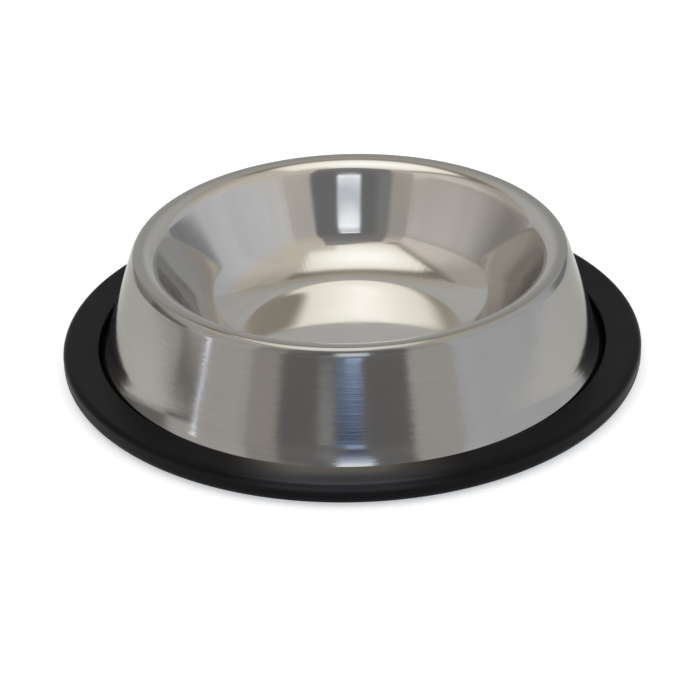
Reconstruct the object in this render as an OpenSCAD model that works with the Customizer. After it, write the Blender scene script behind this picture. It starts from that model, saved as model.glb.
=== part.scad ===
// Non-tip pet bowl. One pressed sheet of stainless steel makes the dish, the rim and the flared skirt,
// and the flange at the foot of the skirt sits in the slot of a rubber ring.

/* [Steel bowl] */
// Height of the rim's top above the table
bowl_h = 46.5; // [40:0.5:60]
// Diameter over the outer bend of the rim
rim_d = 164.8; // [150:0.2:176]
// Lean of the skirt from upright, in degrees
skirt_lean = 18; // [15:0.5:21]
// Thickness of the steel sheet
sheet_t = 0.6; // [0.4:0.1:1]
// Radius of the rim's outer bend, on its outside
rim_bend = 2.75; // [1.75:0.25:4]
// Flat stretch on top of the rim, between the outer bend and the shoulder
rim_land = 0.4; // [0.1:0.1:4]
// Radius of the shoulder that turns from the rim down into the dish
shoulder_bend = 8; // [4:0.2:12]
// Lean of the dish's wall from upright, in degrees
wall_lean = 30; // [22:1:36]
// Radius that blends the dish's wall into its floor
corner_bend = 26; // [14:0.5:32]
// Height of the dish's floor above the table
floor_z = 8.3; // [7:0.1:14]
// Radius of the wide flare in which the skirt starts to turn outwards
flare_bend = 27; // [18:1:34]
// Turn of the flare, in degrees
flare_turn = 18; // [12:1:22]
// Radius of the tighter bend between the flare and the flange
foot_bend = 7; // [5.5:0.5:9]
// Width of the flange that the ring grips
flange_w = 2.6; // [2:0.1:3.6]

/* [Rubber ring] */
// Width of the ring from the lip's bore to the outer edge
ring_w = 13.4; // [12:0.1:18]
// Height of the ring at its outer edge
ring_h = 9.2; // [8:0.1:12]
// Height of the lip's inner edge, a little lower than the outer edge
lip_h = 8.3; // [7:0.1:11]
// Thickness of the rubber under the flange
sole_t = 3.2; // [2:0.1:4.5]
// Distance that the sole reaches in under the foot bend
sole_reach = 4.5; // [2:0.1:6.5]
// Rounding of the upper outer edge
top_round = 2.3; // [1:0.1:3.5]
// Rounding of the lower outer edge
bottom_round = 4.2; // [1:0.1:4.4]
// Rounding of the lip's inner edge
lip_round = 0.5; // [0.2:0.1:1.2]
// Distance that the lip reaches in over the foot bend
lip_reach = 5; // [3.5:0.1:5.2]
// Gap between the foot bend and the lip's underside, which follows it
lip_gap = 0.2; // [0.1:0.1:0.3]
// Radial gap between the flange's trimmed edge and the back of the slot
slot_gap = 0.3; // [0.1:0.1:1]

/* [Hidden] */

// Largest turn between two points of a rounded stretch, in degrees
arc_step = 8;
// Facets round the axis in the preview mesh
$fn = 180;

steel_colour = [0.72, 0.72, 0.70];
rubber_colour = [0.11, 0.11, 0.12];

rim_r = rim_d / 2;
flange_top = sole_t + sheet_t;

// Centres of the bends, as [radius, height]
rim_c = [rim_r - rim_bend, bowl_h - rim_bend];
shoulder_c = [rim_r - rim_bend - rim_land, bowl_h - shoulder_bend];

// The skirt leaves the rim bend at its lean, and is as long as it has to be for the flange to lie on the sole.
// foot_lean is the lean at which the flare hands over to the foot bend.
foot_lean = skirt_lean + flare_turn;
skirt_top = on_circle(rim_c, rim_bend, skirt_lean);
skirt_length = (skirt_top[1] - flange_top - foot_bend
    + flare_bend * sin(skirt_lean) - (flare_bend - foot_bend) * sin(foot_lean)) / cos(skirt_lean);
flare_c = skirt_top + skirt_length * [sin(skirt_lean), -cos(skirt_lean)]
    + flare_bend * [cos(skirt_lean), sin(skirt_lean)];
foot_c = on_circle(flare_c, flare_bend - foot_bend, 180 + foot_lean);
foot_r = foot_c[0];
flange_r = foot_r + flange_w;

// The dish's wall leaves the shoulder at its own lean, and the floor is what the corner bend leaves
wall_top = shoulder_c + shoulder_bend * [-cos(wall_lean), sin(wall_lean)];
floor_r = wall_top[0]
    - (corner_bend * (1 - sin(wall_lean)) + (wall_top[1] - floor_z) * sin(wall_lean)) / cos(wall_lean);
corner_c = [floor_r, floor_z + corner_bend];

lip_r = foot_r - lip_reach;
ring_r = lip_r + ring_w;
slot_r = flange_r + slot_gap;
sole_r = foot_r - sole_reach;

function on_circle(centre, radius, angle) = centre + radius * [cos(angle), sin(angle)];

// Points of a rounded stretch, from one angle to another about its centre
function bend(centre, radius, from, to) =
    let (steps = ceil(abs(to - from) / arc_step))
    [for (i = [0 : steps]) on_circle(centre, radius, from + (to - from) * i / steps)];

// A stretch that goes on from the last point of the one before, without its own first point
function onward(points) = [for (i = [1 : len(points) - 1]) points[i]];

// One face of the sheet, from the flange's edge up the skirt, over the rim and down to the floor's centre.
// depth is the distance below the face that shows: 0 for that face and sheet_t for the hidden one.
function sheet_face(depth) = concat(
    [[flange_r, flange_top - depth]],
    bend(foot_c, foot_bend + depth, 270, 180 + foot_lean),
    onward(bend(flare_c, flare_bend + depth, 180 + foot_lean, 180 + skirt_lean)),
    bend(rim_c, rim_bend - depth, skirt_lean, 90),
    bend(shoulder_c, shoulder_bend - depth, 90, 180 - wall_lean),
    bend(corner_c, corner_bend + depth, 360 - wall_lean, 270),
    [[0, floor_z - depth]]
);

function reversed(points) = [for (i = [len(points) - 1 : -1 : 0]) points[i]];

module steel_bowl() {
    color(steel_colour)
        rotate_extrude()
            polygon(concat(sheet_face(0), reversed(sheet_face(sheet_t))));
}

// The ring's section: a flat sole, a rounded outer edge, a top that dips towards the lip, the lip's underside
// along the foot bend, and the flange's slot
function ring_section() = concat(
    [[sole_r, 0]],
    bend([ring_r - bottom_round, bottom_round], bottom_round, 270, 360),
    bend([ring_r - top_round, ring_h - top_round], top_round, 0, 90),
    bend([lip_r + lip_round, lip_h - lip_round], lip_round, 90, 180),
    bend(foot_c, foot_bend - lip_gap, 180 + acos(lip_reach / (foot_bend - lip_gap)), 270),
    [
        [foot_r, flange_top],
        [slot_r, flange_top],
        [slot_r, sole_t],
        [sole_r, sole_t]
    ]
);

module rubber_ring() {
    color(rubber_colour)
        rotate_extrude()
            polygon(ring_section());
}

steel_bowl();
rubber_ring();
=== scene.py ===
# %% [markdown]
# # A steel bowl in a rubber ring
# A non-tip pet bowl is two pieces. One sheet of stainless steel is pressed and spun into a dish, a rolled rim
# and a wide skirt, and a moulded rubber ring grips the flange at the skirt's foot. Both are round about one
# upright axis. So the whole lesson is about three things: drawing a section and spinning it, giving metal and
# rubber the finish that the real surfaces have, and building surroundings that polished steel can reflect.

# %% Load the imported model
import math

import bmesh
import bpy
from mathutils import Matrix, Vector


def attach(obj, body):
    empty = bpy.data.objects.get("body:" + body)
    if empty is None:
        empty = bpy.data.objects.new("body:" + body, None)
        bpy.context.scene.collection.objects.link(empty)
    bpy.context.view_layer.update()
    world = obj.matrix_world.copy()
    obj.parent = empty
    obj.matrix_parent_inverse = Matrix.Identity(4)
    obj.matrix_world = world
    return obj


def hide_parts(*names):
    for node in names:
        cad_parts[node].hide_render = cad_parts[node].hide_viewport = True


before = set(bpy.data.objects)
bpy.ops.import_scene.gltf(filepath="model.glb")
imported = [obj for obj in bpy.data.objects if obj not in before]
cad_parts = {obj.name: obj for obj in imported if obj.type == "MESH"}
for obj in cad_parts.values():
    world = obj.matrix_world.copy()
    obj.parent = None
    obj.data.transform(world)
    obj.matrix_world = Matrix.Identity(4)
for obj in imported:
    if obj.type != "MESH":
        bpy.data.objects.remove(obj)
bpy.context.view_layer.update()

print("solids:", sorted(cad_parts))

# %% [markdown]
# ## The bowl's sizes
# The sizes are those of the solids, in millimetres, which is how a press shop would write them. The section is
# drawn in millimetres too, and the finished mesh is scaled to metres once. Heights are above the table.

# %% Sizes of the steel and the ring, in millimetres
bowl_h, rim_d, sheet_t, rim_bend, rim_land = 46.5, 164.8, 0.6, 2.75, 0.4
shoulder_bend, wall_lean, corner_bend, floor_z = 8.0, math.radians(30), 26.0, 8.3
skirt_lean, flare_bend, flare_turn, foot_bend, flange_w = math.radians(18), 27.0, math.radians(18), 7.0, 2.6
ring_w, ring_h, lip_h, sole_t, sole_reach, lip_reach = 13.4, 9.2, 8.3, 3.2, 4.5, 5.0
top_round, bottom_round, lip_round, lip_gap, slot_gap = 2.3, 4.2, 0.5, 0.2, 0.3


def on_circle(centre, radius, angle):
    return centre + radius * Vector((math.cos(angle), math.sin(angle)))


rim_r, flange_top = rim_d / 2, sole_t + sheet_t
rim_c = Vector((rim_r - rim_bend, bowl_h - rim_bend))
shoulder_c = Vector((rim_c.x - rim_land, bowl_h - shoulder_bend))
wall_top = on_circle(shoulder_c, shoulder_bend, math.pi - wall_lean)
floor_r = wall_top.x - (corner_bend * (1 - math.sin(wall_lean))
                        + (wall_top.y - floor_z) * math.sin(wall_lean)) / math.cos(wall_lean)
print("the dish's flat floor is", round(2 * floor_r, 1), "mm wide")

# %% The skirt: straight from the rim's bend, then a wide flare, then a tighter bend into the flange
skirt_top = on_circle(rim_c, rim_bend, skirt_lean)
foot_lean = skirt_lean + flare_turn
skirt_length = (skirt_top.y - flange_top - foot_bend + flare_bend * math.sin(skirt_lean)
                - (flare_bend - foot_bend) * math.sin(foot_lean)) / math.cos(skirt_lean)
skirt_low = skirt_top + skirt_length * Vector((math.sin(skirt_lean), -math.cos(skirt_lean)))
flare_c = on_circle(skirt_low, flare_bend, skirt_lean)
foot_c = on_circle(flare_c, flare_bend - foot_bend, math.pi + foot_lean)
foot_r = foot_c.x
print("straight skirt", round(skirt_length, 2), "mm; the flange starts", round(foot_r, 2), "mm from the axis")

# %% A flatter band under the rim's outer bend, which shows the window as a white glint above the skirt's streak
# The bend's own circle moves in by up to 0.3 mm for the band, so that the skirt and the rim's top stay in place.
band_bend, band_low, band_high = 10.0, math.radians(26), math.radians(36)
band_in = (band_bend - rim_bend) * (math.cos(band_low - skirt_lean) - math.cos(band_high - skirt_lean))
upper_c = rim_c - Vector((band_in / math.cos(skirt_lean), 0))
band_c = on_circle(upper_c, band_bend - rim_bend, math.pi + band_high)
lower_c = on_circle(band_c, band_bend - rim_bend, band_low)
skirt_high = on_circle(lower_c, rim_bend, skirt_lean)

# %% [markdown]
# ## Drawing a section with a pencil and a compass
# A section is a line of points in the XZ plane. Two moves are enough for it, the same two that a draughtsman
# uses: a straight line to a point, and a bend about a centre. The straight line extrudes the last point and
# lays the copies along the way. The bend spins the last point about the bend's centre. Straight stretches get
# several points, because a smooth-shaded mirror spreads the turn of its normals over whole faces, and short
# faces keep it at the bend.

# %% Two moves: straight and bend
def straight(bm, pencil, x, z, points=1):
    start, end = pencil.co.copy(), Vector((x, 0, z))
    for i in range(points):
        pencil = bmesh.ops.extrude_vert_indiv(bm, verts=[pencil])["verts"][0]
        pencil.co = start.lerp(end, (i + 1) / points)
    return pencil


def bend(bm, pencil, centre, angle, degrees_each=4):
    points = max(2, math.ceil(math.degrees(abs(angle)) / degrees_each))
    arc = bmesh.ops.spin(bm, geom=[pencil], cent=(centre.x, 0, centre.y), axis=(0, -1, 0), dvec=(0, 0, 0),
                         angle=angle, steps=points, space=Matrix.Identity(4), use_merge=False,
                         use_normal_flip=False, use_duplicate=False)
    return next(g for g in arc["geom_last"] if isinstance(g, bmesh.types.BMVert))


# %% The shown face of the sheet, from the flange's edge to the middle of the dish
def draw_sheet(bm):
    right_angle = math.pi / 2
    pencil = bmesh.ops.create_vert(bm, co=(foot_r + flange_w, 0, flange_top))["vert"][0]
    pencil = straight(bm, pencil, foot_r, flange_top, points=2)
    pencil = bend(bm, pencil, foot_c, foot_lean - right_angle)
    pencil = bend(bm, pencil, flare_c, skirt_lean - foot_lean, degrees_each=3)
    pencil = straight(bm, pencil, skirt_high.x, skirt_high.y, points=12)
    pencil = bend(bm, pencil, lower_c, band_low - skirt_lean, degrees_each=2)
    pencil = bend(bm, pencil, band_c, band_high - band_low, degrees_each=2)
    pencil = bend(bm, pencil, upper_c, right_angle - band_high)
    pencil = straight(bm, pencil, shoulder_c.x, bowl_h)
    pencil = bend(bm, pencil, shoulder_c, right_angle - wall_lean)
    corner_c = Vector((floor_r, floor_z + corner_bend))
    wall_low = on_circle(corner_c, corner_bend, -wall_lean)
    pencil = straight(bm, pencil, wall_low.x, wall_low.y, points=10)
    pencil = bend(bm, pencil, corner_c, wall_lean - right_angle, degrees_each=3)
    straight(bm, pencil, 0, floor_z, points=10)


# %% The ring's section, closed: sole, outer edge, top, lip, lip's underside along the foot bend, and slot
def draw_ring(bm):
    right_angle = math.pi / 2
    lip_r, slot_r, sole_r = foot_r - lip_reach, foot_r + flange_w + slot_gap, foot_r - sole_reach
    ring_r = lip_r + ring_w
    pencil = first = bmesh.ops.create_vert(bm, co=(sole_r, 0, 0))["vert"][0]
    pencil = straight(bm, pencil, ring_r - bottom_round, 0, points=2)
    pencil = bend(bm, pencil, Vector((ring_r - bottom_round, bottom_round)), right_angle, degrees_each=6)
    pencil = straight(bm, pencil, ring_r, ring_h - top_round)
    pencil = bend(bm, pencil, Vector((ring_r - top_round, ring_h - top_round)), right_angle, degrees_each=6)
    pencil = straight(bm, pencil, lip_r + lip_round, lip_h, points=5)
    pencil = bend(bm, pencil, Vector((lip_r + lip_round, lip_h - lip_round)), right_angle, degrees_each=15)
    underside = foot_bend - lip_gap
    lip_turn = math.acos(lip_reach / underside)
    start = on_circle(foot_c, underside, math.pi + lip_turn)
    pencil = straight(bm, pencil, start.x, start.y)
    pencil = bend(bm, pencil, foot_c, right_angle - lip_turn, degrees_each=6)
    for x, z in ((foot_r, flange_top), (slot_r, flange_top), (slot_r, sole_t), (sole_r, sole_t)):
        pencil = straight(bm, pencil, x, z)
    bm.edges.new((pencil, first))


# %% [markdown]
# ## Spinning the section
# The real bowl is pressed in stages and its rim and skirt are spun over on a lathe, and the ring is a moulding
# turned about the same axis. A full spin of the section gives both, with use_merge so that the last copy is the
# first one. The points that meet on the axis are merged into one pole, and then the normals are worked out
# afresh, before anything gets a thickness. Edges that turn sharply, such as the slot's, stay sharp, and the
# rest are smooth.

# %% Spin a section, and turn a bmesh into an object and into a piece
TURNS = 256


def spin_section(draw):
    bm = bmesh.new()
    draw(bm)
    bmesh.ops.spin(bm, geom=bm.verts[:] + bm.edges[:], cent=(0, 0, 0), axis=(0, 0, 1), dvec=(0, 0, 0),
                   angle=2 * math.pi, steps=TURNS, space=Matrix.Identity(4), use_merge=True,
                   use_normal_flip=False, use_duplicate=False)
    same_point = 0.001
    bmesh.ops.remove_doubles(bm, verts=bm.verts[:], dist=same_point)
    bmesh.ops.recalc_face_normals(bm, faces=bm.faces[:])
    return bm


def to_object(bm, name):
    mesh = bpy.data.meshes.new(name)
    bm.to_mesh(mesh)
    bm.free()
    thing = bpy.data.objects.new(name, mesh)
    bpy.context.scene.collection.objects.link(thing)
    return thing


def finish_piece(bm, name):
    millimetre, sharp_above = 0.001, math.radians(35)
    bmesh.ops.scale(bm, vec=(millimetre,) * 3, verts=bm.verts[:])
    for face in bm.faces:
        face.smooth = True
    for side in bm.edges:
        side.smooth = side.calc_face_angle(0) < sharp_above
    piece = to_object(bm, name)
    triangles = sum(len(p.vertices) - 2 for p in piece.data.polygons)
    print(name, "has", triangles, "triangles")
    return piece


# %% [markdown]
# ## The steel sheet
# The dish, rim, skirt and flange are one sheet, so the piece is one surface that gets 0.6 mm of thickness on
# its hidden side. Solidify puts the new shell behind the normals, which point up and out here. Three finishes
# are on it, as on the real bowl: the dish and rim are polished, the skirt is brushed from the rim's bend down,
# and the hidden side keeps the dull skin that the sheet had from the mill.

# %% The pressed steel bowl
POLISHED, BRUSHED, MILL = range(3)
bm = spin_section(draw_sheet)
skirt_from = rim_r - rim_bend
for face in bm.faces:
    middle = face.calc_center_median()
    on_skirt = middle.xy.length > skirt_from and middle.z < skirt_top.y
    face.material_index = BRUSHED if on_skirt else POLISHED
shell = bmesh.ops.solidify(bm, geom=bm.faces[:], thickness=sheet_t)
for face in (g for g in shell["geom"] if isinstance(g, bmesh.types.BMFace)):
    face.material_index = MILL
by_the_axis = 1
lowest_floor = min(v.co.z for v in bm.verts if v.co.xy.length < by_the_axis)
print("the floor's hidden side is", round(lowest_floor, 2), "mm above the table")
bowl = finish_piece(bm, "pressed_bowl")

# %% [markdown]
# ## The rubber ring
# The ring is a compression moulding: a flat sole, a rounded outer edge and a top that dips a little to the lip.
# Inside the lip is the slot for the flange.

# %% The moulded ring
bm = spin_section(draw_ring)
ring = finish_piece(bm, "moulded_ring")

# %% [markdown]
# ## A colour helper and node helpers
# Colours are written the way a paint chart or a photo editor gives them, as sRGB hex. Blender's sockets want
# linear light, so one function turns them. A second function adds any node: its own options by name, and its
# inputs as a dictionary in which a value is set and a socket is linked. The rest are short names for the nodes
# that come up again and again. In the lists of numbers that they take, lengths are in metres.

# %% A colour, a node, a new look and its end
def paint(hex_colour, strength=1.0):
    channels = [int(hex_colour[i:i + 2], 16) / 255 for i in (1, 3, 5)]
    linear = [c / 12.92 if c <= 0.04045 else ((c + 0.055) / 1.055) ** 2.4 for c in channels]
    return (*[strength * c for c in linear], 1.0)


def add(tree, kind, inputs=None, **options):
    node = tree.nodes.new("ShaderNode" + kind)
    for name, value in options.items():
        setattr(node, name, value)
    for name, value in (inputs or {}).items():
        if isinstance(value, bpy.types.NodeSocket):
            tree.links.new(value, node.inputs[name])
        else:
            node.inputs[name].default_value = value
    return node


def new_finish(name):
    finish = bpy.data.materials.new(name)
    finish.use_nodes = True
    finish.node_tree.nodes.clear()
    return finish, finish.node_tree


def show(tree, shader):
    add(tree, "OutputMaterial", {"Surface": shader.outputs[0]})


# %% Arithmetic, ranges, soft edges and mixes of colours
def calc(tree, operation, first, second=0.0):
    return add(tree, "Math", {0: first, 1: second}, operation=operation).outputs[0]


def times(tree, first, *others):
    for other in others:
        first = calc(tree, "MULTIPLY", first, other)
    return first


def spread(tree, value, low, high, to_low=0.0, to_high=1.0, ease="LINEAR"):
    """Turn the range from low to high into the range from to_low to to_high, and hold its ends."""
    return add(tree, "MapRange", {"Value": value, "From Min": low, "From Max": high, "To Min": to_low,
                                  "To Max": to_high}, interpolation_type=ease).outputs[0]


def edge(tree, value, low, high, to_low=0.0, to_high=1.0):
    """The same with soft ends. It falls instead of rising where low is the larger one."""
    return spread(tree, value, low, high, to_low, to_high, "SMOOTHSTEP")


def between(tree, value, rise_from, rise_to, fall_from, fall_to):
    return times(tree, edge(tree, value, rise_from, rise_to), edge(tree, value, fall_to, fall_from))


def near(tree, value, middle, reach, core):
    """1 within core of the middle, and 0 beyond reach of it."""
    return edge(tree, calc(tree, "ABSOLUTE", calc(tree, "SUBTRACT", value, middle)), reach, core)


def blend(tree, share, first, second):
    return add(tree, "Mix", {0: share, 6: first, 7: second}, data_type="RGBA").outputs[2]


# %% Noise, bumps and the distance from the axis
def noise(tree, place, scale, detail, roughness=0.5):
    return add(tree, "TexNoise", {"Vector": place, "Scale": scale, "Detail": detail,
                                  "Roughness": roughness}).outputs[0]


def noise_along(tree, value, scale, detail, roughness=0.5):
    return add(tree, "TexNoise", {"W": value, "Scale": scale, "Detail": detail, "Roughness": roughness},
               noise_dimensions="1D").outputs[0]


def bump(tree, height, distance, under=None):
    """The normal of a relief that is distance high, on top of the normal of the one under it."""
    relief = {"Height": height, "Distance": distance, "Strength": 1.0}
    if under is not None:
        relief["Normal"] = under
    return add(tree, "Bump", relief).outputs[0]


def from_axis(tree, place):
    outwards = add(tree, "VectorMath", {0: place, 1: (1, 1, 0)}, operation="MULTIPLY").outputs[0]
    return add(tree, "VectorMath", {0: outwards}, operation="LENGTH").outputs["Value"]


# %% [markdown]
# ## Mirror-polished stainless steel
# The dish and rim are buffed on a wheel after pressing. Stainless steel reflects a little over half of the
# light and has almost no colour of its own, a trace of warmth. What the eye reads as real steel is in the small
# faults: a slow wave of about a hundredth of a millimetre that bends every reflected edge, haze that changes
# from place to place, and fine spokes at the dish's corner, where the sheet was drawn round.

# %% Polished steel for the dish and the rim
polished, tree = new_finish("polished_stainless_steel")
place = add(tree, "TexCoord").outputs["Object"]
radius = from_axis(tree, place)
# the slow wave left by pressing and buffing, about 28 mm from crest to crest
waved = bump(tree, noise(tree, place, 36.0, 1.0, 0.4), 0.00001)
# spokes: noise along the angle round the axis, so that the pattern runs out from the middle
x, y, _ = add(tree, "SeparateXYZ", {"Vector": place}).outputs
spokes = noise_along(tree, calc(tree, "ARCTAN2", y, x), 26.0, 3.0, 0.6)
at_corner = between(tree, radius, 0.036, 0.05, 0.052, 0.066)
drawn = bump(tree, times(tree, spokes, at_corner), 0.00001, waved)
haze = noise(tree, place, 55.0, 4.0, 0.55)
# light that has bounced on and on between the dish's walls is spread by all the haze it has met
bounces = add(tree, "LightPath").outputs["Ray Depth"]
rough = calc(tree, "MAXIMUM", spread(tree, haze, 0.35, 0.7, 0.05, 0.09),
             edge(tree, bounces, 2.2, 3.8, 0.0, 0.6))
steel = add(tree, "BsdfPrincipled", {"Base Color": blend(tree, haze, paint("#BCBBB9"), paint("#B6B4B2")),
                                     "Metallic": 1.0, "Roughness": rough, "Normal": drawn})
# the rim is only satin: the skirt's belt runs over its edge and leaves lines round it, which spread light across
around = add(tree, "Tangent", direction_type="RADIAL", axis="Z").outputs[0]
belted = add(tree, "BsdfPrincipled", {"Base Color": paint("#9C9B99"), "Metallic": 1.0, "Roughness": 0.14,
                                      "Anisotropic": 0.5, "Anisotropic Rotation": 0.25,
                                      "Normal": waved, "Tangent": around})
on_rim = edge(tree, radius, 0.0755, 0.0785)
show(tree, add(tree, "MixShader", {0: on_rim, 1: steel.outputs[0], 2: belted.outputs[0]}))

# %% [markdown]
# ## Brushed stainless steel
# The skirt is brushed while the bowl turns, so its lines run round it. Real grit lines are 0.05 to 0.1 mm
# apart, too fine for a picture of the whole bowl, so the ones here are about 0.5 mm apart. They spread a
# highlight up and down and leave its sides fairly crisp, and they make the steel look darker than the polished
# dish.

# %% Brushed steel for the skirt
brushed, tree = new_finish("brushed_stainless_steel")
place = add(tree, "TexCoord").outputs["Object"]
# a slow wave as on the dish, but four times as deep
waved = bump(tree, noise(tree, place, 30.0, 1.0, 0.4), 0.00004)
# stretched noise: one line each half millimetre of height, and about 60 mm long round the skirt
stretched = add(tree, "Mapping", {"Vector": place, "Scale": (16, 16, 2000)}).outputs[0]
lines = noise(tree, stretched, 1.0, 3.0, 0.6)
scored = bump(tree, lines, 0.000012, waved)
# each mark also leans half a degree or so to one side, which frays the upright edges of a reflection
stretched = add(tree, "Mapping", {"Vector": place, "Scale": (220, 220, 2600)}).outputs[0]
lean = times(tree, calc(tree, "SUBTRACT", noise(tree, stretched, 1.0, 2.0), 0.5), 0.045)
around = add(tree, "VectorMath", {0: (0, 0, 1), 1: scored}, operation="CROSS_PRODUCT").outputs[0]
sideways = add(tree, "VectorMath", {0: around, "Scale": lean}, operation="SCALE").outputs[0]
frayed = add(tree, "VectorMath", {0: scored, 1: sideways}, operation="ADD").outputs[0]
frayed = add(tree, "VectorMath", {0: frayed}, operation="NORMALIZE").outputs[0]
handling = noise(tree, place, 45.0, 5.0, 0.6)
steel = add(tree, "BsdfPrincipled", {"Base Color": blend(tree, lines, paint("#A6A5A3"), paint("#9D9B99")),
                                     "Metallic": 1.0, "Roughness": spread(tree, handling, 0.35, 0.7, 0.09, 0.14),
                                     "Specular Tint": paint("#D8D8D8"), "Normal": frayed})
show(tree, steel)

# %% [markdown]
# ## Mill finish
# Nobody polishes the side that faces the floor. Cold-rolled sheet has a grey, slightly grainy skin that spreads
# a reflection widely.

# %% Mill-finish steel for the hidden side
mill, tree = new_finish("mill_finish_stainless_steel")
place = add(tree, "TexCoord").outputs["Object"]
grain = noise(tree, place, 900.0, 3.0, 0.6)
cloud = noise(tree, place, 40.0, 4.0, 0.55)
steel = add(tree, "BsdfPrincipled", {"Base Color": blend(tree, cloud, paint("#B4B2AE"), paint("#A3A19D")),
                                     "Metallic": 1.0, "Roughness": spread(tree, cloud, 0.3, 0.7, 0.34, 0.46),
                                     "Normal": bump(tree, grain, 0.000008)})
show(tree, steel)
for finish in (polished, brushed, mill):
    bowl.data.materials.append(finish)

# %% [markdown]
# ## Moulded black rubber
# The ring is black rubber with a soft sheen. Rubber's index of refraction is about 1.52. The mould leaves a
# faint grain a third of a millimetre wide, and handling leaves slightly duller and shinier patches.

# %% Black rubber for the ring
rubber_ior = 1.52
rubber, tree = new_finish("moulded_black_rubber")
place = add(tree, "TexCoord").outputs["Object"]
moulded = bump(tree, noise(tree, place, 2800.0, 2.0, 0.5), 0.00001)
cloud = noise(tree, place, 60.0, 4.0, 0.6)
satin = add(tree, "BsdfPrincipled", {"Base Color": blend(tree, cloud, paint("#06070C"), paint("#0D0E13")),
                                     "Roughness": spread(tree, cloud, 0.3, 0.7, 0.36, 0.46),
                                     "IOR": rubber_ior, "Specular IOR Level": 0.08, "Normal": moulded})
# a glossier patch at the front with a painted reflection: brown beside the lip, from the skirt, and bluish grey
# further out
radius = from_axis(tree, place)
# the painted reflection's colours, lighter than the rubber itself
painted_sheen_colour = blend(tree, edge(tree, radius, 0.099, 0.106), paint("#332E29"), paint("#30343E"))
painted_sheen_rubber = add(tree, "BsdfPrincipled", {"Base Color": painted_sheen_colour, "Roughness": 0.30, "IOR": rubber_ior,
                                     "Specular IOR Level": 0.5, "Normal": moulded})
x, y, z = add(tree, "SeparateXYZ", {"Vector": place}).outputs
# where the painted reflection lies: the front of the ring's top, near the lip
painted_sheen_mask = times(tree, edge(tree, y, -0.07, -0.085), between(tree, x, -0.048, -0.018, 0.008, 0.040),
              edge(tree, radius, 0.117, 0.100), edge(tree, z, 0.0050, 0.0078))
show(tree, add(tree, "MixShader", {0: painted_sheen_mask, 1: satin.outputs[0], 2: painted_sheen_rubber.outputs[0]}))
ring.data.materials.append(rubber)

# %% [markdown]
# ## Onto the frame
# Each piece stands for the solid of the same shape, which is hidden, and rides on the one body.

# %% Ride on the body and hide the solid
for piece, node, slot in ((bowl, "steel_bowl", "stainless_steel"), (ring, "rubber_ring", "rubber")):
    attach(piece, "root")
    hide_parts(node)

# %% [markdown]
# ## A light tent
# Polished steel has no look of its own: it shows the room. Bowls like this are photographed in a light tent, a
# box of white cloth with lamps above it and an opening for the camera. The tent here is a set of glowing sheets
# that the camera can't see but the steel can. Each sheet has a colour that changes with height, because cloth
# near the lamps is brighter, and each one is at a level at which a white card on the table would come out
# white.

# %% A sheet of tent cloth
HALF, ROOF = 0.4, 0.7  # half the tent's width, and its height


def sheet(name, corner, along, up):
    """A parallelogram: one corner, and its two sides as vectors."""
    bm = bmesh.new()
    first = bmesh.ops.create_vert(bm, co=corner)["vert"][0]
    side = bmesh.ops.extrude_vert_indiv(bm, verts=[first])
    side["verts"][0].co += Vector(along)
    across = bmesh.ops.extrude_edge_only(bm, edges=side["edges"])
    bmesh.ops.translate(bm, verts=[g for g in across["geom"] if isinstance(g, bmesh.types.BMVert)], vec=up)
    cloth = to_object(bm, name)
    cloth.visible_camera = False
    return cloth


# %% Looks that glow: colour through stops, light, partly open light, folds, and what is seen again
def run_through(tree, value, stops):
    """Colour from stops of (value in metres, hex, strength), in rising order."""
    low, high = stops[0][0], stops[-1][0]
    ramp = add(tree, "ValToRGB", {"Fac": spread(tree, value, low, high)})
    elements = ramp.color_ramp.elements
    elements[0].position, elements[-1].position = 0.0, 1.0
    for place, _, _ in stops[1:-1]:
        elements.new((place - low) / (high - low))
    for element, (_, colour, strength) in zip(elements, stops):
        element.color = paint(colour, strength)
    return ramp.outputs[0]


def glow_look(name):
    look, tree = new_finish(name)
    place = add(tree, "SeparateXYZ", {"Vector": add(tree, "TexCoord").outputs["Object"]})
    return look, tree, *place.outputs


def shine(tree, colour, level=1.0):
    show(tree, add(tree, "Emission", {"Color": colour, "Strength": level}))


def shine_partly(tree, share, colour, level=1.0):
    """Glow where share is 1, and let everything through where it is 0."""
    light = add(tree, "Emission", {"Color": colour, "Strength": level})
    clear = add(tree, "BsdfTransparent")
    show(tree, add(tree, "MixShader", {0: share, 1: clear.outputs[0], 2: light.outputs[0]}))


def folds(tree, along, scale):
    """The cloth's slow folds, which raise and lower its level by 3 in a hundred."""
    return edge(tree, noise_along(tree, along, scale, 2.0), 0.3, 0.7, 0.97, 1.03)


def seen_again(tree):
    """0 in a first reflection, and 1 in every later one."""
    return edge(tree, add(tree, "LightPath").outputs["Ray Depth"], 1.2, 1.8)


# %% [markdown]
# ## The walls
# The cloth is warm near the lamps and neutral low down. The folds where the walls meet the table at the back
# get the least light, so each wall is darker there.

# %% Left and right walls
def side_wall(name, x, stops, slant, behind, corner_behind, corner_level):
    """Stops run up the wall, from a line that is slant times y lower towards the back.
    behind is where the wall starts to darken, where it ends, and the level it has there.
    corner_behind is the same for the low corner at the back, which goes down to corner_level."""
    wall = sheet(name, (x, -HALF, 0), (0, 2 * HALF, 0), (0, 0, ROOF))
    look, tree, _, y, z = glow_look("cloth_" + name)
    towards_back = edge(tree, y, behind[0], behind[1], 1.0, behind[2])
    low_corner = times(tree, edge(tree, y, *corner_behind), edge(tree, z, 0.18, 0.12))
    corner = spread(tree, low_corner, 0.0, 1.0, 1.0, corner_level)
    # the top of the wall catches more of the lamps, which shows where the steel reflects it twice
    lit_top = times(tree, seen_again(tree), edge(tree, z, 0.48, 0.60, 0.0, 0.45))
    level = times(tree, towards_back, folds(tree, y, 11.0), corner, calc(tree, "ADD", lit_top, 1.0))
    cloth = run_through(tree, calc(tree, "ADD", z, times(tree, y, slant)), stops)
    wall.data.materials.append(look)
    return tree, y, z, cloth, level


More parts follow.
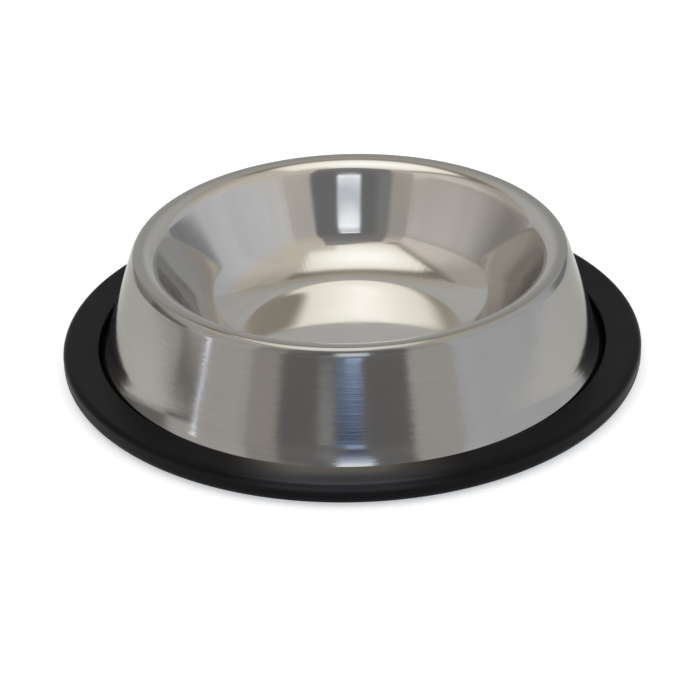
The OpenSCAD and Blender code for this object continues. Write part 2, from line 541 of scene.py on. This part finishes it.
tree, _, _, cloth, level = side_wall(
    "right", HALF, [(0.0, "#F8FBFF", 0.90), (0.2, "#FAFCFF", 0.91), (0.3, "#FBFDFF", 0.94),
                    (0.42, "#FFFAF2", 0.94), (0.6, "#FFF6E6", 0.95), (ROOF, "#FFF6E6", 0.95)],
    slant=0.0, behind=(0.0, 0.38, 0.80), corner_behind=(0.11, 0.18), corner_level=0.50)
shine(tree, cloth, level)

# %% The left wall: a fold, a thin gap that lets light in near the table, and a dark crease beside it
tree, y, z, cloth, level = side_wall(
    "left", -HALF, [(-0.18, "#FFFBF7", 0.76), (0.12, "#FFFAF4", 0.84), (0.17, "#FFFAF4", 0.88),
                    (0.20, "#FFFAF4", 0.83), (0.235, "#FFF8EE", 0.76), (0.245, "#FFF8EE", 0.79),
                    (0.265, "#FFF7EC", 1.04), (0.4, "#FFF7EC", 1.08), (0.9, "#FFF6EA", 1.02)],
    slant=0.45, behind=(-0.08, 0.22, 0.63), corner_behind=(0.03, 0.15), corner_level=0.80)
level = times(tree, level, edge(tree, z, 0.52, 0.67, 1.0, 0.62))
# the cloth's lowest fold and the crease in front of it, both in shade
fold = times(tree, between(tree, y, -0.10, -0.05, 0.10, 0.13), between(tree, z, 0.018, 0.030, 0.115, 0.135))
cloth = blend(tree, fold, cloth, paint("#FFF8F2", 0.34))
crease = times(tree, between(tree, y, -0.174, -0.148, -0.09, -0.045), edge(tree, z, 0.040, 0.010))
cloth = blend(tree, crease, cloth, paint("#FFF8F2", 0.28))
# the gap, and its two ends, where it is wider
gap = times(tree, near(tree, y, -0.176, 0.0075, 0.0025), edge(tree, z, 0.11, 0.06))
cloth = blend(tree, gap, cloth, paint("#E8F0FF", 2.4))
ends = calc(tree, "MAXIMUM", near(tree, z, 0.048, 0.006, 0.002), near(tree, z, 0.10, 0.018, 0.008))
ends = times(tree, ends, near(tree, y, -0.173, 0.012, 0.005))
shine(tree, blend(tree, ends, cloth, paint("#F0F6FF", 3.2)), level)

# %% The table's edge along the left wall, which lies in the shade of the wall's crease
shade_side, over_floor = 0.24, 0.0006
shade = sheet("left_shade", (-HALF, -0.20, over_floor), (shade_side, 0, 0), (0, shade_side, 0))
look, tree, x, y, _ = glow_look("shaded_table")
dark = times(tree, edge(tree, x, -0.17, -0.34), between(tree, y, -0.2, -0.12, -0.09, 0.0))
shine_partly(tree, dark, paint("#FFFAF6"), 0.50)
shade.data.materials.append(look)
shade.visible_diffuse = shade.visible_shadow = False

# %% Back wall
back = sheet("back", (-HALF, HALF, 0), (2 * HALF, 0, 0), (0, 0, ROOF))
look, tree, x, _, z = glow_look("cloth_back")
cloth = run_through(tree, z, [(0.0, "#FEFEFC", 0.54), (0.1, "#FEFEFC", 0.62), (0.2, "#FEFEFA", 0.69),
                              (0.45, "#FFFEF8", 0.70), (0.6, "#FFF8EA", 0.67), (ROOF, "#FFF6E6", 0.63)])
shine(tree, cloth, times(tree, folds(tree, x, 9.0), edge(tree, x, -0.02, 0.10, 1.04, 0.95)))
back.data.materials.append(look)

# %% [markdown]
# ## The roof
# The lamps shine on a rounded patch of the roof, and a seam of the cloth keeps the light of the patch from the
# part behind it. A camera rolls off its brightest light and a render doesn't, so the patch has two levels. A
# first reflection in the steel is already near white and gets the lower one. In the dish's floor the patch is
# seen after two reflections, each of which takes half of the light, and there it has its full level.

# %% The roof, with the patch that the lamps shine through
def from_spot(tree, x, y, spot):
    """Distance along the cloth from a spot on it."""
    flat = add(tree, "CombineXYZ", {"X": x, "Y": y, "Z": 0.0}).outputs[0]
    return add(tree, "VectorMath", {0: flat, 1: (*spot, 0)}, operation="DISTANCE").outputs["Value"]


roof = sheet("roof", (-HALF, -HALF, ROOF), (2 * HALF, 0, 0), (0, 2 * HALF, 0))
look, tree, x, y, _ = glow_look("cloth_roof")
# the patch's left edge, which turns in towards the back
turned_in = times(tree, calc(tree, "MAXIMUM", calc(tree, "SUBTRACT", y, 0.12), 0.0), 0.6)
left_edge = edge(tree, calc(tree, "SUBTRACT", x, turned_in), -0.405, -0.335)

# as seen in a first reflection: the patch with a dim corner, the cloth beside it, and the seam
hot = run_through(tree, from_spot(tree, x, y, (-0.08, -0.08)),
                  [(0.0, "#FFFFFC", 2.05), (0.06, "#FFFFFA", 2.01), (0.15, "#FFFEF6", 1.87),
                   (0.2, "#FFFDF4", 1.77), (0.25, "#FFFCF2", 1.68), (0.32, "#FFFAEE", 1.52),
                   (0.45, "#FFF8EA", 1.27)])
dip = times(tree, edge(tree, x, 0.07, 0.12), edge(tree, y, -0.17, -0.33), 0.3)
hot = blend(tree, dip, hot, paint("#FFF8EA", 0.2))
slanted = calc(tree, "ADD", x, times(tree, y, 0.25))
patch = times(tree, left_edge, edge(tree, slanted, 0.25, 0.19), edge(tree, y, 0.285, 0.14))
beside = run_through(tree, y, [(-HALF, "#FFF7E7", 0.97), (0.0, "#FFF7E7", 0.97), (0.1, "#FFF7E7", 0.90),
                               (0.17, "#FFF6E6", 0.84), (0.28, "#FFF6E6", 0.74), (HALF, "#FFF6E6", 0.67)])
seam = times(tree, edge(tree, x, 0.24, 0.18), between(tree, y, 0.17, 0.25, 0.31, 0.42))
seam_cloth = run_through(tree, x, [(-HALF, "#FFF6E6", 0.34), (-0.2, "#FFF6E6", 0.46), (0.0, "#FFF6E6", 0.55),
                                   (0.1, "#FFF6E6", 0.47), (0.15, "#FFF6E6", 0.39), (HALF, "#FFF6E6", 0.45)])
once = blend(tree, patch, blend(tree, seam, beside, seam_cloth), hot)

# as seen in later reflections: a rounder patch, and the cloth at its two sides
hot = run_through(tree, from_spot(tree, x, y, (-0.04, 0.03)),
                  [(0.0, "#FFFFFA", 3.9), (0.05, "#FFFFF8", 3.6), (0.1, "#FFFFF6", 3.25),
                   (0.15, "#FFFEF4", 3.0), (0.2, "#FFFDF2", 2.8), (0.25, "#FFFCF0", 2.6),
                   (0.3, "#FFFBEE", 2.4), (0.55, "#FFF8EA", 1.8)])
# the patch's back corners are cut off at a slant
off_axis = calc(tree, "MINIMUM", calc(tree, "ABSOLUTE", x), 0.2)
rounded = calc(tree, "ADD", y, times(tree, off_axis, 0.5))
patch = times(tree, left_edge, edge(tree, x, 0.17, 0.125), edge(tree, rounded, 0.40, 0.29))
beside = run_through(tree, x, [(-HALF, "#FFF6E6", 1.10), (-0.26, "#FFF6E6", 1.06), (-0.21, "#FFF6E6", 0.92),
                               (-0.12, "#FFF6E6", 1.05), (0.11, "#FFF6E6", 1.15), (0.15, "#FFF6E6", 0.82),
                               (0.23, "#FFF6E6", 0.82), (0.28, "#FFF6E6", 1.2), (HALF, "#FFF6E6", 1.2)])
later = blend(tree, patch, beside, hot)
shine(tree, blend(tree, seen_again(tree), once, later))
roof.data.materials.append(look)

# %% [markdown]
# ## The opening in the front, and the room behind it
# The camera looks in through a hole in the front cloth. Behind it is a dim room, and a window in that room is
# the blue streak that runs down the skirt and shows again in the dish's far wall. The room has its real
# distance, because the curved skirt and the dish show it at different widths.

# %% The front wall, with its opening
front = sheet("front", (-HALF, -HALF, 0), (2 * HALF, 0, 0), (0, 0, ROOF))
look, tree, x, _, z = glow_look("cloth_front")
left_part = run_through(tree, z, [(0.0, "#FFF8F0", 0.62), (0.3, "#FFF9F2", 0.56), (0.4, "#FFF6EE", 0.64),
                                  (0.5, "#FFF4EA", 0.82), (0.6, "#FFF4E8", 1.0), (ROOF, "#FFF8EC", 1.4)])
right_part = run_through(tree, z, [(0.0, "#FFFAF4", 0.76), (0.36, "#FFF9F4", 0.74), (0.45, "#FFF7EA", 0.86),
                                   (0.58, "#FFF7E8", 0.95), (ROOF, "#FFF7E8", 0.95)])
cloth = blend(tree, edge(tree, x, -0.1, 0.14), left_part, right_part)
corner = times(tree, edge(tree, x, -0.24, -0.34), edge(tree, z, 0.56, 0.62))
cloth = blend(tree, corner, cloth, paint("#FFF4E8", 0.68))
# the hole's top rises to the right, and its right edge has two steps
hole_top = edge(tree, x, -0.24, 0.18, 0.58, 0.72)
above = edge(tree, calc(tree, "SUBTRACT", z, hole_top), -0.03, 0.05)
steps = calc(tree, "ADD", edge(tree, z, 0.1, 0.35, 0.0, 0.03), edge(tree, z, 0.38, 0.46, 0.0, -0.02))
beside = calc(tree, "MAXIMUM", edge(tree, x, -0.22, -0.262),
              edge(tree, calc(tree, "SUBTRACT", x, steps), 0.158, 0.188))
shine_partly(tree, calc(tree, "MAXIMUM", above, beside), cloth)
front.data.materials.append(look)

# %% The room: a dim wall with the window and a curtain beside it
FAR, ROOM_HALF, ROOM_HIGH = -1.7, 1.6, 3.2  # its wall's y, half its width, and its height
room = sheet("room", (-ROOM_HALF, FAR, 0), (2 * ROOM_HALF, 0, 0), (0, 0, ROOM_HIGH))
look, tree, x, _, z = glow_look("dim_room")
dim = run_through(tree, z, [(0.0, "#FFFCFA", 0.25), (0.17, "#FFFCFA", 0.25), (0.2, "#FFFCFA", 0.28),
                            (0.5, "#FFFCFC", 0.32), (1.3, "#FCFCFF", 0.27), (1.5, "#FFFCFC", 0.33),
                            (1.95, "#FFFCFC", 0.36), (2.15, "#FFFCF8", 0.45), (ROOM_HIGH, "#FFFCF8", 0.55)])
window = run_through(tree, z, [(0.10, "#A0B0E0", 0.12), (0.155, "#A0B4F0", 0.10), (0.172, "#A4BCF0", 0.48),
                               (0.183, "#A4C0F0", 1.15), (0.205, "#A4C4F2", 0.95), (0.225, "#A8C8F4", 0.8),
                               (0.25, "#B4D0F8", 1.4), (0.27, "#D4E6FF", 2.8), (0.285, "#D4E6FF", 1.6),
                               (0.31, "#C8DCFF", 0.4), (0.35, "#C0D4FF", 0.24), (0.53, "#C8D8FF", 0.42),
                               (0.72, "#D8E8FF", 0.80), (0.92, "#DCEAFF", 1.5), (1.15, "#F4FAFF", 2.1),
                               (1.202, "#F8FCFF", 2.8), (1.212, "#EEF5FF", 0.94), (1.268, "#EEF5FF", 1.0),
                               (1.28, "#F8FCFF", 3.2), (1.30, "#F8FCFF", 3.2)])
# how far a point is outside the window's upright sides, which spread towards its top
half_width = edge(tree, z, 0.2, 1.2, 0.175, 0.25)
narrower = times(tree, edge(tree, x, -0.03, 0.05),
                 calc(tree, "ADD", edge(tree, z, 1.22, 1.29, 0.0, 0.045), edge(tree, z, 0.22, 0.19, 0.0, 0.03)))
half_width = calc(tree, "SUBTRACT", half_width, narrower)
off_middle = calc(tree, "SUBTRACT", x, edge(tree, z, 0.15, 0.9, -0.055, 0.0))
outside = calc(tree, "SUBTRACT", calc(tree, "ABSOLUTE", off_middle), half_width)
# something dark stands in front of the window on the left
dark_side = times(tree, edge(tree, x, -0.06, -0.13), between(tree, z, 0.23, 0.255, 0.40, 0.55))
in_window = times(tree, edge(tree, outside, 0.035, -0.035), between(tree, z, 0.08, 0.14, 1.29, 1.31),
                  calc(tree, "SUBTRACT", 1.0, dark_side))
drape = run_through(tree, z, [(0.0, "#FFFDFA", 0.52), (0.2, "#FFFDFA", 0.52), (0.25, "#F6F8FF", 0.27),
                              (0.32, "#FAFCFF", 0.33), (0.5, "#FFFDFA", 0.42), (1.05, "#FFFDFA", 0.42)])
curtain = times(tree, between(tree, x, -0.52, -0.42, -0.30, -0.22), edge(tree, z, 1.05, 0.8))
dim = blend(tree, curtain, dim, drape)
lit_side = times(tree, edge(tree, x, -0.5, -0.75), edge(tree, z, 1.05, 1.2))
dim = blend(tree, lit_side, dim, paint("#FFFDFA", 0.36))
shine(tree, blend(tree, in_window, dim, window))
room.data.materials.append(look)

# %% The dim table between the room and the tent
over_floor = 0.0005
table = sheet("room_table", (-ROOM_HALF, FAR, over_floor), (2 * ROOM_HALF, 0, 0), (0, -FAR - HALF, 0))
look, tree, *_ = glow_look("dim_table")
shine(tree, paint("#FCFCFF", 0.24))
table.data.materials.append(look)
table.visible_diffuse = table.visible_shadow = False

# %% [markdown]
# ## Floor and world
# The floor is plain and pale. It takes the bowl's shadow, and a lift that only the camera and mirrors see
# brings its open part to white. Mirrors see less of it, because the steel's foot would come out too pale. The
# world is white as well, so a view from any side ends in white.

# %% Floor, a tenth of a millimetre under the sole so that the two don't share a plane
floor_half, gap_below = 3.0, 0.0001
bm = bmesh.new()
bmesh.ops.create_grid(bm, x_segments=1, y_segments=1, size=floor_half,
                      matrix=Matrix.Translation((0, 0, -gap_below)))
floor = to_object(bm, "floor")
look, tree = new_finish("pale_floor")
rays = add(tree, "LightPath")
in_mirror = calc(tree, "MAXIMUM", rays.outputs["Is Glossy Ray"], rays.outputs["Is Transmission Ray"])
camera_lift, mirror_lift = 0.52, 0.22
lift = calc(tree, "MAXIMUM", times(tree, rays.outputs["Is Camera Ray"], camera_lift),
            times(tree, in_mirror, mirror_lift))
white = add(tree, "BsdfDiffuse", {"Color": paint("#E4E4E4")})
extra = add(tree, "Emission", {"Color": paint("#F6FAFF"), "Strength": lift})
show(tree, add(tree, "AddShader", {0: white.outputs[0], 1: extra.outputs[0]}))
floor.data.materials.append(look)

# %% World
world = bpy.data.worlds.new("white_room")
bpy.context.scene.world = world
world.use_nodes = True
world.node_tree.nodes.clear()
sky = add(world.node_tree, "Background", {"Color": (1, 1, 1, 1), "Strength": 1.0})
add(world.node_tree, "OutputWorld", {"Surface": sky.outputs[0]})

# %% [markdown]
# ## Camera
# The photograph is taken from the front, 29 degrees above the table and a little under a metre away, with a
# long lens and a slight tilt of the horizon. The camera points at the middle of the ring's underside and is
# then turned by those small angles.

# %% Camera
ring_radius, photo_px, sensor_mm = 0.110, 700, 36.0
elevation, roll, pan, tilt = (math.radians(a) for a in (29.257, 1.455, 0.053, 0.037))
away, lens_px = 8.7345 * ring_radius, 2502.4
spot = Vector((0, -math.cos(elevation), math.sin(elevation))) * away
ahead = -spot.normalized()
across = Vector((1, 0, 0))
up = across.cross(ahead)
across, ahead = (Matrix.Rotation(pan, 3, up) @ v for v in (across, ahead))
ahead, up = (Matrix.Rotation(tilt, 3, across) @ v for v in (ahead, up))
across, up = (Matrix.Rotation(roll, 3, ahead) @ v for v in (across, up))
lens = bpy.data.cameras.new("camera")
lens.sensor_width, lens.lens = sensor_mm, lens_px * sensor_mm / photo_px
lens.clip_start, lens.clip_end = 0.01, 50.0
camera = bpy.data.objects.new("camera", lens)
pose = Matrix((across, up, -ahead)).transposed().to_4x4()
pose.translation = spot
camera.matrix_world = pose
bpy.context.scene.collection.objects.link(camera)
bpy.context.scene.camera = camera
bpy.context.scene.view_settings.view_transform = "Standard"
print("lens", round(lens.lens, 1), "mm")
